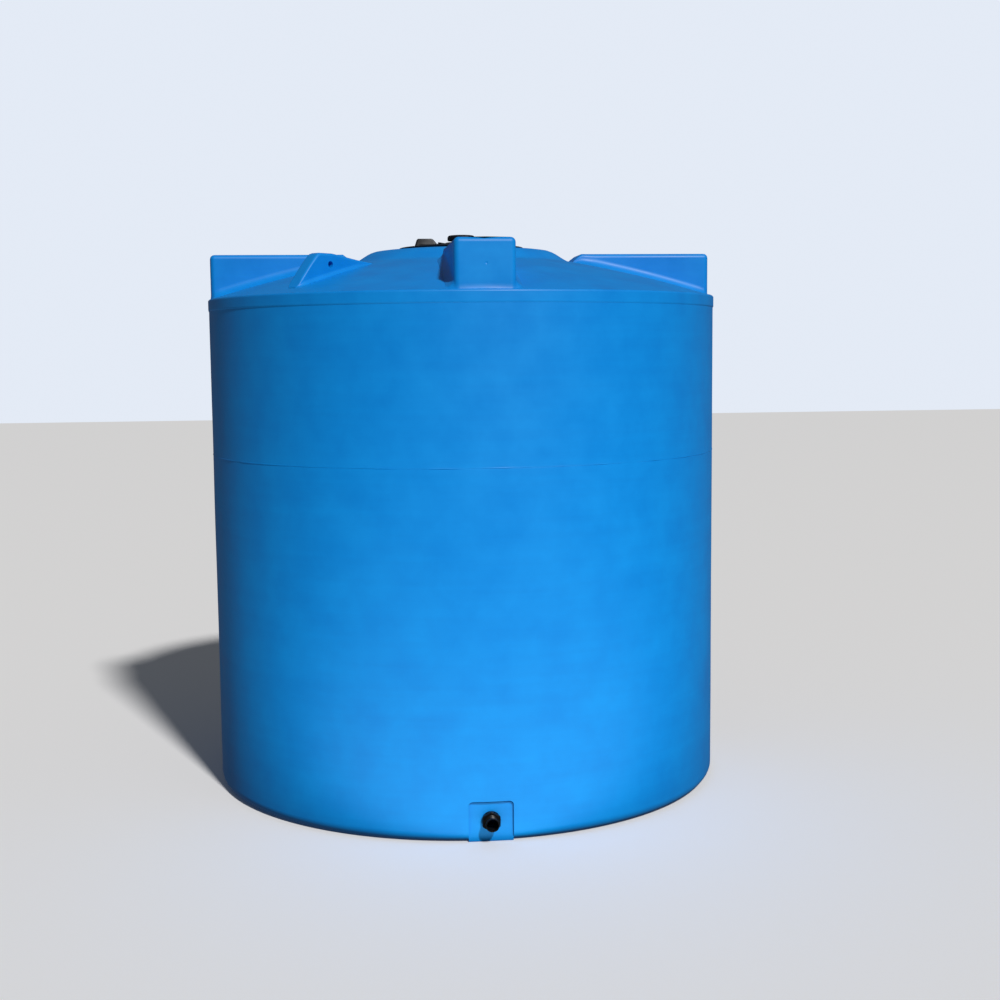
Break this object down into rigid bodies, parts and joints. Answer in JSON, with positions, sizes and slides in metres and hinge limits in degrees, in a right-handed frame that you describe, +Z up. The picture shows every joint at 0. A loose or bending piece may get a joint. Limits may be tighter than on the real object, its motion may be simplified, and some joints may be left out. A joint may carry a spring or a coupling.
{
  "type": "livestock water tank",
  "caption": "Closed upright round polyethylene water tank with domed top, square lands, lifting fins, screw-in manway lid, bottom outlet, float valve and overflow.",
  "frame": {"origin": "middle of the tank's base, on the ground", "axes": "+Z up, -Y out of the outlet at the front, +X to the right seen from the front"},
  "size_m": [1.905, 1.9795, 2.0536],
  "materials": {
    "polyethylene_blue": "rotationally moulded, satin with soft mottling",
    "polyethylene_black": "moulded, satin",
    "nylon_black": "moulded, satin gloss",
    "rubber_black": "moulded, matt",
    "brass": "machined",
    "stainless_steel": "drawn and pressed",
    "polyethylene_orange": "blow moulded, satin"
  },
  "bodies": {
    "tank": {"tank_shell": "polyethylene_blue", "outlet_fitting": "nylon_black", "outlet_inner_seal": "rubber_black", "outlet_outer_washer": "nylon_black", "outlet_backnut": "nylon_black", "overflow_fitting": "nylon_black", "overflow_inner_seal": "rubber_black", "overflow_outer_washer": "nylon_black", "overflow_backnut": "nylon_black", "overflow_screen": "stainless_steel", "inlet_valve_body": "brass", "inlet_inner_seal": "rubber_black", "inlet_outer_washer": "nylon_black", "inlet_backnut": "brass", "inlet_seat": "nylon_black", "float_pivot_pin": "stainless_steel"},
    "lid_ring": {"lid_seal": "rubber_black"},
    "lid": {"manway_lid": "polyethylene_black", "vent_stem": "nylon_black", "vent_gasket": "rubber_black", "vent_nut": "nylon_black", "vent_screen": "stainless_steel", "vent_cap": "polyethylene_black"},
    "plunger": {"valve_plunger": "brass", "plunger_pad": "rubber_black"},
    "float_arm": {"float_lever": "brass", "float_ball": "polyethylene_orange", "float_nut": "brass"}
  },
  "joints": [
    {"name": "lid_lift", "type": "slide", "parent": "tank", "child": "lid_ring", "axis": [0, 0, 1], "range_m": [0, 0.3]},
    {"name": "lid_turn", "type": "hinge", "parent": "lid_ring", "child": "lid", "pos_m": [0, 0, 1.9986], "axis": [0, 0, 1], "range_deg": [0, 540]},
    {"name": "float_swing", "type": "hinge", "parent": "tank", "child": "float_arm", "pos_m": [0.045, 0.85095, 1.91], "axis": [-1, 0, 0], "range_deg": [0, 40]},
    {"name": "plunger_travel", "type": "slide", "parent": "tank", "child": "plunger", "axis": [0, 1, 0], "range_m": [0, 0.0089]}
  ],
  "couplings": [
    {"joint": "plunger_travel", "follows": "float_swing", "m_per_rad": 0.012738}
  ]
}
